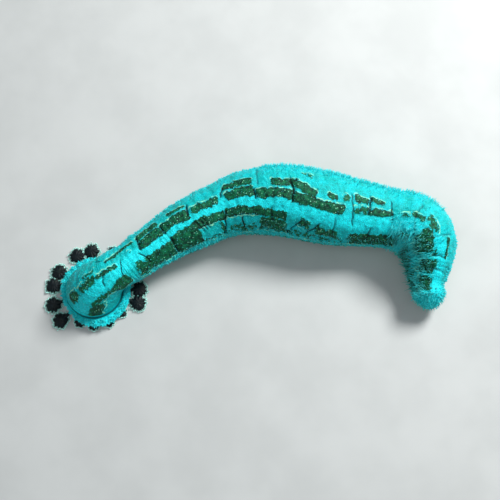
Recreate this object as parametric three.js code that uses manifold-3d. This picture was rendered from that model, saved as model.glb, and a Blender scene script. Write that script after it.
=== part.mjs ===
// A large sea cucumber, life size, lying on its sole on a flat floor while it feeds.
// The flared head presses its mouth to the floor inside a collar, ringed by 24 shield-headed tentacles.
// Millimetres, +Z up. The origin is at floor level, under the middle of the animal's bounding box.
import * as THREE from "three";
import { mergeVertices } from "three/addons/utils/BufferGeometryUtils.js";
import Module from "manifold-3d";

const wasm = await Module();
wasm.setup();

// Driving sizes
const FLOOR = 0;
const GAP = 0.3; // between neighbouring pieces
const SOLE_HEIGHT = 3; // the sole stands this far off the floor on its tube feet
const BODY_CORNERS = 24;
const TOP_SHARE = 0.94; // height of the back above the widest line, as a share of the half width
const BOTTOM_SHARE = 0.8; // depth of the belly below it
const SOLE_SQUARENESS = 3; // superellipse power of the flattened belly; 2 is an ellipse
const HEAD_BLEND = 15; // the neck's sections turn to the head's direction over this length
const NECK_SLOPE = 55; // the sole comes down from the neck over this length
const TAIL_TIP = 312.5;
const TAIL_RISE = { from: 286, height: 5 }; // the sole's lift towards the tip

// The head: its mouth disc on the floor, and the line that the neck folds down about
const HEAD_CENTRE = new THREE.Vector2(-126.2, -35.2);
const HEAD_HEADING = THREE.MathUtils.degToRad(215);
const FOLD_HEIGHT = 5;
const FOLD_REACH = 38; // from the fold line to the middle of the mouth disc
const NECK_HALF_WIDTH = 16.3;
const NECK_SOLE = 8;
const DOME_RADIUS = 22.5;
const DOME_FLARE = 45; // fold angle where the dome begins to widen sideways
const DOME_SHIFT = 1.2; // the dome sits this far to the animal's right of the collar's middle
const COLLAR_RADIUS = 28.8;
const COLLAR_DENT = 3.2; // the collar is this much narrower at the front
const RECESS_RADIUS = 18;
const RECESS_CEILING = 8.8;
// Rings under the head: place and height, where the place is millimetres inside the recess's lip below 0,
// and a share of the way from the lip to the collar's edge above it
const UNDERSIDE = [[-1, RECESS_CEILING], [-1, 5.2], [0, 4.4], [0.83, 4.1], [1, 4.9], [0.93, 6]];
// Fold angles of the head's rings, from the collar back to the neck
const HEAD_RINGS = [85, 80, 74, 66, 57, 51, 46, 41, 32, 23, 18, 13, 6, 0];

// The line of the body seen from above, from the neck to the tip of the tail
const BODY_LINE = [
  [-77.6, -0.9], [-56.9, 13.4], [-41.5, 21.3], [-22.5, 30], [-4, 35.4], [26.7, 36.5], [64.3, 29.4],
  [92.2, 25.4], [112, 22.3], [122.1, 20.1], [131, 16.2], [138, 10.2], [142.4, 2.6], [144.3, -6],
  [144.4, -14.2], [143.8, -21.5], [143.2, -28.5], [143.2, -35], [143.8, -41], [144.2, -46], [144.2, -51],
];
// Half width of the body at distances along that line
const GIRTH = [
  [0, NECK_HALF_WIDTH], [21, 17], [46, 20], [63, 21.4], [84, 22.4], [104, 25.3], [134, 28.2], [172, 28.4],
  [200, 25.6], [220, 23.6], [230, 24], [240, 25.2], [249, 25.6], [258, 24.6], [267, 22.6], [275.5, 20],
  [283, 17.3], [290, 15], [296, 13], [302, 12.4], [306, 10.6], [309.5, 7.2], [TAIL_TIP, 3],
];
// The sharp bend of the tail pinches its inner side
const TAIL_FOLD = { at: 249, reach: 26, squeeze: 0.1 };
// Distances along the body of the creases that cross the back, and how deep and wide they are
const CREASES = [12, 27, 44, 61, 82, 101, 120, 141, 158, 178, 199, 218, 235, 252, 269, 284, 296];
const CREASE_DEPTH = 1.3;
const CREASE_HALF_WIDTH = 2.2;
// Fold angles of the creases that cross the head, and their half width in degrees
const HEAD_CREASES = [18, 46];
const HEAD_CREASE_HALF_WIDTH = 5;
// Rings that round off the tail
const TAIL_RINGS = [300.5, 304, 307, 309.3, 311.2];

// Lengths that the body is divided into
const LENGTHS = {
  neck: [0, 53],
  torso_front: [53, 111],
  torso_middle: [111, 168],
  torso_rear: [168, 216],
  tail_bend: [216, 262],
  tail: [262, TAIL_TIP],
};

// Rows of tube feet as shares of the half width, and the stretch of body whose feet reach the floor
const TUBE_FEET = { rows: [-0.66, -0.5, -0.12, 0.12, 0.5, 0.66], spacing: 15, radius: 1.1, sucker: 1.5 };
const STANDING = { from: 50, to: 294 };
const RAISED_FOOT_LENGTH = 2.6;
// Rows of papillae in degrees from the middle of the back
const PAPILLAE = { rows: [-80, -52, -24, 24, 52, 80], spacing: 18, radius: 1.15, height: 2.3 };
const COLLAR_PAPILLAE = { count: 24, radius: 1, length: 2, height: 5.1 };
const JOINT_MARGIN = 2.5; // nothing grows nearer than this to the end of a length

// The crown: root direction in degrees, tip direction, and how far the tentacle is held out
const TENTACLES = [
  [0, 5, "out"], [15, 16, "in"], [30, 38, "out"], [45, 46, "in"], [60, 68, "out"], [75, 76, "in"],
  [90, 99, "out"], [105, 119, "out"], [120, 122, "in"], [135, 151, "out"], [150, 170, "out"],
  [165, 167, "in"], [180, 196, "out"], [195, 197, "in"], [210, 220, "out"], [225, 226, "in"],
  [240, 244, "half"], [255, 255, "in"], [270, 269, "half"], [285, 284, "in"], [300, 296, "half"],
  [315, 314, "in"], [330, 323, "half"], [345, 347, "out"],
];
const CROWN_RADIUS = 13.6; // ring of the tentacles' roots
const STALK_RADIUS = 1.45;
const SHIELDS = {
  out: { reach: 36.5, radius: 5.9, lobes: 8, height: 2.9, steps: 6 },
  half: { reach: 26.4, radius: 4.4, lobes: 6, height: 2.7, steps: 5 },
  in: { reach: 19.4, radius: 2.4, lobes: 5, height: 2.6, steps: 4 },
};
// Share of the radius, depth of the notches between lobes, and share of the height of a shield's rings
const SHIELD_RINGS = [
  [0.8, 0.25, 0], [0.97, 0.36, 0.17], [1, 0.38, 0.35], [0.78, 0.34, 0.75], [0.4, 0.15, 1],
];
// Radius and height of the mouth disc's lower side: the mouth's pit, the lips and the flat rim
const MOUTH_PROFILE = [
  [0, 7.6], [2, 7.2], [3.4, 5.7], [4.8, 4.9], [6.5, 5.2], [9, 6.3], [11, 6.6], [17.3, 6.6], [17.6, 6.9],
];
const VENT_PIT = [[0.55, 0.4], [0.4, 3]]; // share of the tip's ring, and depth

const PALE_SKIN = { color: 0xcfeae4, roughness: 0.55, metalness: 0 };
const DARK_TENTACLE = { color: 0x161a1c, roughness: 0.5, metalness: 0 };
const MOUTH_SKIN = { color: 0x6d6a5c, roughness: 0.5, metalness: 0 };

const up = new THREE.Vector3(0, 0, 1);

// A repeatable random number from 0 to 1
let seed = 20;
function random() {
  seed = (seed * 16807) % 2147483647;
  return seed / 2147483647;
}

// A smooth value at x from a table of [x, value] rows
function smoothTable(table, x) {
  const last = table.length - 1;
  let i = table.findIndex(([at]) => at > x) - 1;
  if (i < 0) i = x <= table[0][0] ? 0 : last - 1;
  const row = (n) => table[THREE.MathUtils.clamp(n, 0, last)];
  const slope = (n) => (row(n + 1)[1] - row(n - 1)[1]) / (row(n + 1)[0] - row(n - 1)[0]);
  const [x0, y0] = row(i);
  const [x1, y1] = row(i + 1);
  const h = x1 - x0;
  const t = THREE.MathUtils.clamp((x - x0) / h, 0, 1);
  const hermite = (2 * t ** 3 - 3 * t ** 2 + 1) * y0 + (-2 * t ** 3 + 3 * t ** 2) * y1;
  return hermite + (t ** 3 - 2 * t ** 2 + t) * h * slope(i) + (t ** 3 - t ** 2) * h * slope(i + 1);
}

// Closes a skin over rings of equal corner count, which turn right-handed about the way they are stacked
function skinOver(rings) {
  const corners = rings[0].length;
  const middle = (ring) => ring.reduce((sum, p) => sum.add(p), new THREE.Vector3()).divideScalar(corners);
  const points = rings.flat();
  const start = points.push(middle(rings[0])) - 1;
  const end = points.push(middle(rings.at(-1))) - 1;
  const lastRing = (rings.length - 1) * corners;
  const faces = [];
  for (let j = 0; j < corners; j++) {
    const k = (j + 1) % corners;
    faces.push(start, k, j);
    faces.push(end, lastRing + j, lastRing + k);
    for (let i = 0; i < lastRing; i += corners) {
      faces.push(i + j, i + k, i + j + corners);
      faces.push(i + k, i + k + corners, i + j + corners);
    }
  }
  const geometry = new THREE.BufferGeometry().setFromPoints(points);
  return geometry.setIndex(faces);
}

// A closed geometry as a solid that can be joined
function solid(geometry) {
  geometry.deleteAttribute("normal");
  geometry.deleteAttribute("uv");
  const merged = mergeVertices(geometry, 1e-3);
  const vertProperties = new Float32Array(merged.attributes.position.array);
  const triVerts = new Uint32Array(merged.index.array);
  return new wasm.Manifold(new wasm.Mesh({ numProp: 3, vertProperties, triVerts }));
}

// Joins closed geometries into one, and keeps its largest closed surface
function fuse(geometries) {
  const pieces = geometries.map(solid);
  const surfaces = wasm.Manifold.union(pieces).decompose();
  const largest = surfaces.reduce((a, b) => (a.volume() > b.volume() ? a : b));
  const mesh = largest.getMesh();
  const geometry = new THREE.BufferGeometry();
  geometry.setAttribute("position", new THREE.BufferAttribute(new Float32Array(mesh.vertProperties), 3));
  return geometry.setIndex(new THREE.BufferAttribute(new Uint32Array(mesh.triVerts), 1));
}

// The body: a cross-section carried along the body line
const heading = new THREE.Vector3(Math.cos(HEAD_HEADING), Math.sin(HEAD_HEADING), 0);
const headSide = new THREE.Vector3().crossVectors(up, heading);
const foldLine = new THREE.Vector3(HEAD_CENTRE.x, HEAD_CENTRE.y, FOLD_HEIGHT);
foldLine.addScaledVector(heading, -FOLD_REACH);
const linePoints = [new THREE.Vector3(foldLine.x, foldLine.y, 0)];
for (const [x, y] of BODY_LINE) linePoints.push(new THREE.Vector3(x, y, 0));
const bodyLine = new THREE.CatmullRomCurve3(linePoints, false, "centripetal");
bodyLine.arcLengthDivisions = 2000;
const BODY_LENGTH = bodyLine.getLength();

// Where the body is at a distance along it: its middle, side and half width
function station(distance) {
  const share = THREE.MathUtils.clamp(distance / BODY_LENGTH, 0, 1);
  const forward = bodyLine.getTangentAt(share);
  const side = new THREE.Vector3().crossVectors(forward, up).normalize();
  side.lerp(headSide, 1 - THREE.MathUtils.smoothstep(distance, 0, HEAD_BLEND)).normalize();
  const halfWidth = smoothTable(GIRTH, distance);
  const lift = (NECK_SOLE - SOLE_HEIGHT) * (1 - THREE.MathUtils.smoothstep(distance, 0, NECK_SLOPE));
  const tailRise = TAIL_RISE.height * THREE.MathUtils.smoothstep(distance, TAIL_RISE.from, TAIL_TIP);
  const middle = bodyLine.getPointAt(share);
  middle.z = SOLE_HEIGHT + lift + tailRise + BOTTOM_SHARE * halfWidth;
  return { middle, side, halfWidth, top: TOP_SHARE * halfWidth, bottom: BOTTOM_SHARE * halfWidth };
}

// The gap between two lengths, widened where a bend squeezes its inner side
function jointGap(distance) {
  const step = 1;
  const smallest = 0.25;
  const before = bodyLine.getTangentAt((distance - step) / BODY_LENGTH);
  const after = bodyLine.getTangentAt((distance + step) / BODY_LENGTH);
  const curvature = before.angleTo(after) / (2 * step);
  return GAP / Math.max(smallest, 1 - curvature * smoothTable(GIRTH, distance));
}

// One point of a cross-section: angle 0 is the back, 180 the belly
function sectionPoint(angle, halfWidth, top, bottom, squareness) {
  const s = Math.sin(angle);
  const c = Math.cos(angle);
  if (c >= 0) return [halfWidth * s, top * c];
  const power = 2 / squareness;
  return [halfWidth * Math.sign(s) * Math.abs(s) ** power, -bottom * Math.abs(c) ** power];
}

// How far the skin sinks into a crease, which fades out towards the sole
function creaseSink(distance, angle, places, halfWidth) {
  const nearest = Math.min(...places.map((at) => Math.abs(distance - at)));
  const across = Math.max(0, 1 - nearest / halfWidth);
  return CREASE_DEPTH * across * THREE.MathUtils.smoothstep(Math.cos(angle), -0.75, 0.1);
}

function skinPoint(distance, angle) {
  const { middle, side, halfWidth, top, bottom } = station(distance);
  const sink = creaseSink(distance, angle, CREASES, CREASE_HALF_WIDTH);
  const [across, height] = sectionPoint(angle, halfWidth - sink, top - sink, bottom, SOLE_SQUARENESS);
  const fromFold = THREE.MathUtils.smoothstep(Math.abs(distance - TAIL_FOLD.at), 0, TAIL_FOLD.reach);
  const pinch = across > 0 ? 1 - TAIL_FOLD.squeeze * (1 - fromFold) : 1;
  return middle.addScaledVector(side, across * pinch).addScaledVector(up, height);
}

function ringOf(corners, pointAt) {
  return Array.from({ length: corners }, (_, j) => pointAt((j / corners) * 2 * Math.PI));
}

// The places of the rings in one length of the body: its ends, each crease's lips and floor, and between
function ringDistances(from, to) {
  const wanted = [from, to, ...TAIL_RINGS];
  for (const [i, at] of CREASES.entries()) {
    wanted.push(at - CREASE_HALF_WIDTH, at, at + CREASE_HALF_WIDTH);
    if (i + 1 < CREASES.length) wanted.push((at + CREASES[i + 1]) / 2);
  }
  const inside = wanted.filter((at) => at >= from && at <= to).sort((a, b) => a - b);
  return inside.filter((at, i) => i === 0 || at - inside[i - 1] > 1);
}

// Surface point and outward normal of the body, by small steps along and around it
function surfaceFrame(distance, angle) {
  const turn = 0.02;
  const step = 0.5;
  const point = skinPoint(distance, angle);
  const along = skinPoint(distance + step, angle).sub(point);
  const around = skinPoint(distance, angle + turn).sub(point);
  return { point, normal: around.cross(along).normalize() };
}

function papilla(point, normal, radius, height) {
  const sunk = 0.9;
  const cone = new THREE.ConeGeometry(radius, height + sunk, 5);
  cone.translate(0, (height + sunk) / 2 - sunk, 0);
  const turn = new THREE.Quaternion().setFromUnitVectors(new THREE.Vector3(0, 1, 0), normal);
  return cone.applyQuaternion(turn).translate(point.x, point.y, point.z);
}

// A tube foot from inside the sole down to a flat sucker, on the floor where the sole is low enough
function tubeFoot(distance, share) {
  const { middle, side, halfWidth, bottom } = station(distance);
  const drop = bottom * (1 - Math.abs(share) ** SOLE_SQUARENESS) ** (1 / SOLE_SQUARENESS);
  const root = middle.clone().addScaledVector(side, share * halfWidth);
  const sole = middle.z - drop;
  const sunk = 2;
  const stands = distance > STANDING.from && distance < STANDING.to;
  const reach = stands ? sole - FLOOR : RAISED_FOOT_LENGTH;
  const foot = new THREE.CylinderGeometry(TUBE_FEET.radius, TUBE_FEET.sucker, reach + sunk, 5);
  foot.rotateX(Math.PI / 2);
  return foot.translate(root.x, root.y, sole + sunk - (reach + sunk) / 2);
}

// What stands on the skin of one length of the body
function skinPieces(from, to) {
  const pieces = [];
  const fits = (place) => place > from + JOINT_MARGIN && place < to - JOINT_MARGIN;
  TUBE_FEET.rows.forEach((share, row) => {
    const first = 6 + (row % 2) * TUBE_FEET.spacing / 2;
    for (let at = first; at < TAIL_TIP - 10; at += TUBE_FEET.spacing)
      if (fits(at)) pieces.push(tubeFoot(at, share));
  });
  PAPILLAE.rows.forEach((degrees, row) => {
    const first = 9 + (row % 2) * PAPILLAE.spacing / 2;
    for (let at = first; at < TAIL_TIP - 9; at += PAPILLAE.spacing) {
      const place = at + 3 * (random() - 0.5);
      const angle = THREE.MathUtils.degToRad(degrees + 8 * (random() - 0.5));
      const size = 0.85 + 0.3 * random();
      if (!fits(place)) continue;
      const { point, normal } = surfaceFrame(place, angle);
      pieces.push(papilla(point, normal, PAPILLAE.radius, PAPILLAE.height * size));
    }
  });
  return pieces;
}

function bodyLength(from, to) {
  const rings = ringDistances(from, to).map((at) => ringOf(BODY_CORNERS, (angle) => skinPoint(at, angle)));
  if (to === TAIL_TIP) rings.push(...ventPit(rings.at(-1)));
  return fuse([skinOver(rings), ...skinPieces(from, to)]);
}

// The vent is a small pit in the tip of the tail
function ventPit(lastRing) {
  const { middle } = station(TAIL_TIP);
  const inward = bodyLine.getTangentAt(1).negate();
  return VENT_PIT.map(([share, depth]) =>
    lastRing.map((p) => p.clone().lerp(middle, 1 - share).addScaledVector(inward, depth)));
}

// The head: the neck's cross-section turned down about the fold line until it lies flat, then the collar
function headRing(foldAngle) {
  const t = THREE.MathUtils.smoothstep(foldAngle, 0, 90);
  const mix = THREE.MathUtils.lerp;
  const sink = creaseSink(foldAngle, 0, HEAD_CREASES, HEAD_CREASE_HALF_WIDTH);
  const flare = THREE.MathUtils.smoothstep(foldAngle, DOME_FLARE, 90);
  const halfWidth = mix(NECK_HALF_WIDTH, DOME_RADIUS, flare) - sink;
  const top = mix(TOP_SHARE * NECK_HALF_WIDTH, DOME_RADIUS, t) - sink;
  const bottom = mix(BOTTOM_SHARE * NECK_HALF_WIDTH, DOME_RADIUS, t);
  const neckReach = NECK_SOLE + BOTTOM_SHARE * NECK_HALF_WIDTH - FOLD_HEIGHT;
  const reach = mix(neckReach, FOLD_REACH, t);
  const squareness = mix(SOLE_SQUARENESS, 2, t);
  const turned = THREE.MathUtils.degToRad(foldAngle);
  const outward = heading.clone().multiplyScalar(Math.sin(turned)).addScaledVector(up, Math.cos(turned));
  const middle = foldLine.clone().addScaledVector(outward, reach).addScaledVector(headSide, -DOME_SHIFT * t);
  return ringOf(BODY_CORNERS, (angle) => {
    const [across, height] = sectionPoint(angle, halfWidth, top, bottom, squareness);
    return middle.clone().addScaledVector(headSide, across).addScaledVector(outward, height);
  });
}

// The distance of the collar's edge from its middle, where angle 0 is the front
function collarRadius(angle) {
  return COLLAR_RADIUS - COLLAR_DENT * Math.max(0, Math.cos(angle)) ** 4;
}

function undersidePoint(radius, angle, z) {
  const point = new THREE.Vector3(HEAD_CENTRE.x, HEAD_CENTRE.y, z);
  point.addScaledVector(headSide, radius * Math.sin(angle));
  return point.addScaledVector(heading, radius * Math.cos(angle));
}

function undersideRing([fromLip, z]) {
  const lip = RECESS_RADIUS + 1;
  return ringOf(BODY_CORNERS, (angle) => {
    const radius = fromLip <= 0 ? lip + fromLip : THREE.MathUtils.lerp(lip, collarRadius(angle), fromLip);
    return undersidePoint(radius, angle, z);
  });
}

function head() {
  const pieces = [skinOver([...UNDERSIDE.map(undersideRing), ...HEAD_RINGS.map(headRing)])];
  for (let i = 0; i < COLLAR_PAPILLAE.count; i++) {
    const angle = ((i + 0.5) / COLLAR_PAPILLAE.count) * 2 * Math.PI;
    const point = undersidePoint(collarRadius(angle) - 0.4, angle, COLLAR_PAPILLAE.height);
    const outward = undersidePoint(1, angle, 0).sub(undersidePoint(0, angle, 0));
    const length = COLLAR_PAPILLAE.length * (0.8 + 0.4 * random());
    pieces.push(papilla(point, outward, COLLAR_PAPILLAE.radius, length));
  }
  return fuse(pieces);
}

// The mouth disc under the head, which carries the tentacles on its rim
function mouth() {
  const top = RECESS_CEILING - GAP;
  const edge = MOUTH_PROFILE.at(-1)[0];
  const outline = [...MOUTH_PROFILE, [edge, top], [0, top]];
  const points = outline.map(([radius, z]) => new THREE.Vector2(radius, z));
  const disc = new THREE.LatheGeometry(points, 24).rotateX(Math.PI / 2);
  disc.scale(1, -1, 1);
  disc.setIndex(Array.from(disc.index.array).reverse());
  return disc.translate(HEAD_CENTRE.x, HEAD_CENTRE.y, 0);
}

// A tentacle's stalk: down from the mouth disc, then out along the floor to its shield
function stalk(rootAngle, tipAngle, { reach, steps }) {
  const { lerp, smoothstep } = THREE.MathUtils;
  const place = (radius, z) => {
    const share = (radius - CROWN_RADIUS) / (reach - CROWN_RADIUS);
    const angle = lerp(rootAngle, tipAngle, smoothstep(share, 0, 1));
    return new THREE.Vector3(radius * Math.cos(angle), radius * Math.sin(angle), z);
  };
  const bend = Math.min(5, reach - CROWN_RADIUS - 1);
  const route = [
    place(CROWN_RADIUS, 6.3),
    place(CROWN_RADIUS + 0.1 * bend, 4.9),
    place(CROWN_RADIUS + 0.45 * bend, 3),
    place(CROWN_RADIUS + bend, 2),
    place((CROWN_RADIUS + bend + reach) / 2, 1.9),
    place(reach, 1.4),
  ];
  const path = new THREE.CatmullRomCurve3(route, false, "centripetal");
  const cross = new THREE.Vector3(-Math.sin(rootAngle), Math.cos(rootAngle), 0);
  const rings = [];
  for (let i = 0; i <= steps; i++) {
    const middle = path.getPointAt(i / steps);
    middle.add(new THREE.Vector3(HEAD_CENTRE.x, HEAD_CENTRE.y, 0));
    const along = i === 0 ? up.clone().negate() : path.getTangentAt(i / steps);
    const first = cross.clone().addScaledVector(along, -cross.dot(along)).normalize();
    const second = new THREE.Vector3().crossVectors(along, first);
    const radius = STALK_RADIUS * (1 - 0.25 * Math.sin((Math.PI * i) / steps));
    rings.push(ringOf(6, (angle) => {
      const out = first.clone().multiplyScalar(Math.cos(angle)).addScaledVector(second, Math.sin(angle));
      return out.multiplyScalar(radius).add(middle);
    }));
  }
  return skinOver(rings);
}

// The shield at a tentacle's end: a flat-soled leaf with a lobed margin
function shield(tipAngle, { reach, radius, lobes, height }) {
  const middle = new THREE.Vector3(Math.cos(tipAngle), Math.sin(tipAngle), 0).multiplyScalar(reach);
  middle.add(new THREE.Vector3(HEAD_CENTRE.x, HEAD_CENTRE.y, 0));
  const lengths = Array.from({ length: lobes }, () => 0.88 + 0.12 * random());
  const rings = SHIELD_RINGS.map(([share, notch, level]) => Array.from({ length: 2 * lobes }, (_, j) => {
    const angle = tipAngle + (j / lobes) * Math.PI;
    const lobe = j % 2 ? 1 - notch : lengths[j / 2];
    const out = radius * share * lobe;
    const z = FLOOR + level * height;
    return new THREE.Vector3(middle.x + out * Math.cos(angle), middle.y + out * Math.sin(angle), z);
  }));
  return skinOver(rings);
}

function tentacle([rootDegrees, tipDegrees, hold]) {
  const rootAngle = THREE.MathUtils.degToRad(rootDegrees);
  const tipAngle = THREE.MathUtils.degToRad(tipDegrees);
  const form = SHIELDS[hold];
  return fuse([stalk(rootAngle, tipAngle, form), shield(tipAngle, form)]);
}

// The animal
const animal = new THREE.Group();
function add(name, geometry, look) {
  const mesh = new THREE.Mesh(geometry, new THREE.MeshStandardMaterial(look));
  mesh.name = name;
  animal.add(mesh);
}

add("head", head(), PALE_SKIN);
add("mouth", mouth(), MOUTH_SKIN);
for (const [i, row] of TENTACLES.entries())
  add(`tentacle_${String(i + 1).padStart(2, "0")}`, tentacle(row), DARK_TENTACLE);
for (const [name, [from, to]] of Object.entries(LENGTHS)) {
  const start = from === 0 ? GAP : from + jointGap(from);
  add(name, bodyLength(start, to), PALE_SKIN);
}

export default animal;
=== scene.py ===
# A life-size still model of a sea cucumber that feeds with its head folded to the ground.
# Places and sizes are millimetres, with +Z up and the floor at 0. MM turns them into Blender's metres.
from math import cos, degrees, pi, radians, sin

import bpy
import numpy as np
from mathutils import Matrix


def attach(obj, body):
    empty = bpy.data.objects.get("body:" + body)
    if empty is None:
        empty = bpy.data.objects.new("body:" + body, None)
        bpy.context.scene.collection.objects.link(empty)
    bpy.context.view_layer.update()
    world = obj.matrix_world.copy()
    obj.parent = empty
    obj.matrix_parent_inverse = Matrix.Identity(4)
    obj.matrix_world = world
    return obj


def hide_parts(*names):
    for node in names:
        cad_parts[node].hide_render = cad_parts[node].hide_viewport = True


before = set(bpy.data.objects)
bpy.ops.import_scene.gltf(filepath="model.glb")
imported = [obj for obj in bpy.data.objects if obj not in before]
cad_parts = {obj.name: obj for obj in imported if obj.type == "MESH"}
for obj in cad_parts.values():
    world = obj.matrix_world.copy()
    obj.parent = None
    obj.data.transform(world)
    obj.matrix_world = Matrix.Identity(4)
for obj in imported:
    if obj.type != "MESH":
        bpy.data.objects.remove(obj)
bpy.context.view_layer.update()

MM = 0.001
TURN = 2 * pi
UP = np.array([0.0, 0.0, 1.0])

# The body: its middle line, its half width at each distance from the neck, and its height as shares of that.
SOLE_HEIGHT = 3.0
TOP_SHARE = 0.94
BOTTOM_SHARE = 0.8
SOLE_SQUARENESS = 3.0
HEAD_BLEND = 15.0
NECK_SLOPE = 55.0
NECK_HALF_WIDTH = 16.3
NECK_SOLE = 8.0
TAIL_TIP = 312.5
TAIL_RISE = {"from": 286.0, "height": 5.0}
TAIL_FOLD = {"at": 249.0, "reach": 26.0, "squeeze": 0.1}
TAIL_SLIM = {"at": 282.0, "reach": 24.0, "share": 0.14}
BODY_LINE = [
    (-77.6, -0.9), (-56.9, 13.4), (-41.5, 21.3), (-22.5, 30), (-4, 35.4), (26.7, 36.5), (64.3, 29.4),
    (92.2, 25.4), (112, 22.3), (122.1, 20.1), (131, 16.2), (138, 10.2), (142.4, 2.6), (144.3, -6),
    (144.4, -14.2), (143.8, -21.5), (143.2, -28.5), (143.2, -35), (143.8, -41), (144.2, -46), (144.2, -51),
]
GIRTH = [
    (0, NECK_HALF_WIDTH), (21, 17), (46, 20), (63, 21.4), (84, 22.4), (104, 25.3), (134, 28.2), (172, 28.4),
    (200, 25.6), (220, 23.6), (230, 24), (240, 25.2), (249, 25.6), (258, 24.6), (267, 22.6), (275.5, 20),
    (283, 17.3), (290, 15), (296, 13), (302, 12.4), (306, 10.6), (309.5, 7.2), (TAIL_TIP, 3),
]

# The head: a dome that folds down from the neck, with a collar flat round the mouth.
HEAD_CENTRE = np.array([-126.2, -35.2, 0.0])
HEAD_HEADING = radians(215)
FOLD_HEIGHT = 5.0
FOLD_REACH = 38.0
DOME_RADIUS = 22.5
DOME_FLARE = 45.0
DOME_SHIFT = 1.2
DOME_FOOT = 85.0
COLLAR_RADIUS = 28.8
COLLAR_DENT = 3.2
LIP_RADIUS = 19.0
HEADING = np.array([cos(HEAD_HEADING), sin(HEAD_HEADING), 0.0])
HEAD_SIDE = np.cross(UP, HEADING)
FOLD_LINE = HEAD_CENTRE + UP * FOLD_HEIGHT - HEADING * FOLD_REACH

# How finely the middle line and the skin are built.
LINE_STEPS = 200
SKIN_STEP = 0.56
SKIN_AROUND = 300

# Dark patches on the skin: where each starts and ends along the body, its two edges in degrees round from
# the middle of the back, how far it leans over its length, and how solid it is. One below 1 is broken into
# islands. Places ahead of the neck are degrees of the head's fold, below 0. The image's lower side is the
# positive one. PATCH_CORNER rounds the corners, and OUTSIDE stands for far from every patch. The one from
# 250 to 300 along and 50 to 104 degrees round is painted shade on the tail's inner flank, not a marking.
PATCHES = [
    (-60, -42, -13, 13, -4, 0.86), (-45, -18, -2, 12, 0, 0.95), (-46, -17, 44, 84, -20, 1),
    (-65, -44, 47, 70, 10, 0.85), (-84, -63, 46, 78, -4, 0.9), (-54, -41, -24, -13, -4, 0.85),
    (-77, -62, -12, 16, 0, 0.9), (-29, 9, -34, -23, -10, 1), (1, 5, -15, -3, 0, 0.9),
    (11, 33.5, -47, -28, 0, 1), (12, 33.5, -25.5, 4, 0, 1), (33.5, 58, -23, 2, 4, 1),
    (42, 58, -38, -27, 5, 1), (60, 84, -18, 2, 6, 0.95), (88, 111, -32, -17, 6, 1),
    (89, 112, -14.5, 6, 4, 1), (113, 142, -3.5, 14, 2, 1), (124, 144, -21, -6.5, 0, 1),
    (142, 161, -15, 2, 14, 1), (142, 184, 5, 21, 5, 1), (146, 155, -40, -30, 2, 0.85),
    (168, 176, -9, 2, 4, 1), (180, 187, -11, 2, 0, 0.9), (190, 203, -15, 0, 3, 1),
    (204, 214, -16, -6, 3, 1), (190, 204, 5, 18, 0, 0.9), (204, 222, 3, 16, -3, 1),
    (229, 239, 0, 9, 2, 0.85), (237, 248, -6, 4, 2, 0.95), (247, 260, -18, 1, 6, 0.85),
    (263, 277, -36, -28, 4, 1), (-2, 11, 24, 78, 0, 0.8), (7, 34, 25, 72, -5, 1), (34, 60, 15, 70, 0, 1),
    (58, 84, 14, 34, 8, 1), (60, 84, 62, 74, 4, 0.8), (76, 81, 34, 74, 0, 0.9), (84, 117, 21, 38, 9, 1),
    (114, 140, 31, 48, 9, 0.95), (114, 142, 46, 77, 6, 0.86), (97, 112, 58, 80, 4, 0.6),
    (84, 113, 52, 80, 0, 0.55), (151, 161, 42, 62, 8, 0.85), (164, 182, 49, 72, 6, 0.85),
    (142, 190, 66, 84, 0, 0.5), (190, 231, 52, 80, -8, 1), (228, 249, 38, 50, -4, 0.75),
    (253, 273, 2, 40, 6, 0.95), (271, 276, -6, 6, 0, 0.9), (278, 288, -12, 38, 10, 0.9),
    # The patch (250, 300, 50, 104) on this line is painted shade on the tail's inner flank.
    (290, 301, 0, 48, 6, 0.9), (250, 300, 50, 104, 0, 0.75), (14, 62, -106, -86, 0, 0.7),
    (66, 118, -104, -84, 0, 0.65), (124, 180, -104, -84, 0, 0.7), (188, 236, -102, -82, 0, 0.7),
    (242, 292, -104, -84, 0, 0.65), (14, 62, 86, 104, 0, 0.6), (66, 190, 90, 106, 0, 0.6),
]
PATCH_CORNER = 2.4
OUTSIDE = -30.0

# Creases across the back: place along the body, the two ends round it in degrees, lean, depth.
CREASES = [
    (12, -44, 6, 0, 1.6), (10.5, 6, 52, 2, 1.3), (34, -24, 6, 0, 1.5), (35, 16, 66, 0, 1.3),
    (58, -34, -2, -2, 1.4), (61, 13, 46, 2, 0.8), (64, 13, 44, 2, 0.8), (67, 14, 44, 2, 0.8),
    (81, 18, 78, -5, 1.5), (87, -34, -8, -2, 1.3), (98, 40, 78, 0, 1.2), (112, -6, 14, 0, 1.4),
    (115, -62, -8, 0, 0.6), (126, 28, 50, 0, 0.8), (141, -26, 20, 2, 1.6), (147, 42, 84, -8, 1.3),
    (160, -12, 12, 0, 0.7), (164, 44, 70, -4, 1.2), (178, 30, 60, 0, 0.8), (190, -16, 44, 2, 1),
    (204, -20, 20, 0, 1.3), (206, 40, 74, 0, 1), (221, -20, 26, 2, 1.3), (232, 44, 74, 2, 1),
    (240, -30, 10, 0, 0.6), (250, 10, 60, 10, 1.1), (262, -50, 0, 0, 0.6), (276, -30, 40, 0, 0.8),
    (285, -60, 60, 0, 0.8), (-40, 8, 40, -3, 1.3), (-17, -8, 42, -5, 1.3), (-35.5, -48, -30, 5, 1.1),
]


def smoothstep(value, low, high):
    share = np.clip((value - low) / (high - low), 0, 1)
    return share * share * (3 - 2 * share)


def mix(start, end, share):
    return start + (end - start) * share


def bell(distance, reach):
    """1 at distance 0, falling smoothly to near 0 at twice the reach."""
    return np.exp(-((distance / reach) ** 2))


def unit(vectors):
    return vectors / np.linalg.norm(vectors, axis=-1, keepdims=True)


def curve(start, end, leave, arrive, share):
    """A smooth curve from start to end, where leave and arrive are its slopes at the two."""
    swing = share * (1 - share) * ((1 - share) * leave - share * arrive)
    return mix(start, end, smoothstep(share, 0, 1)) + swing


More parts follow.
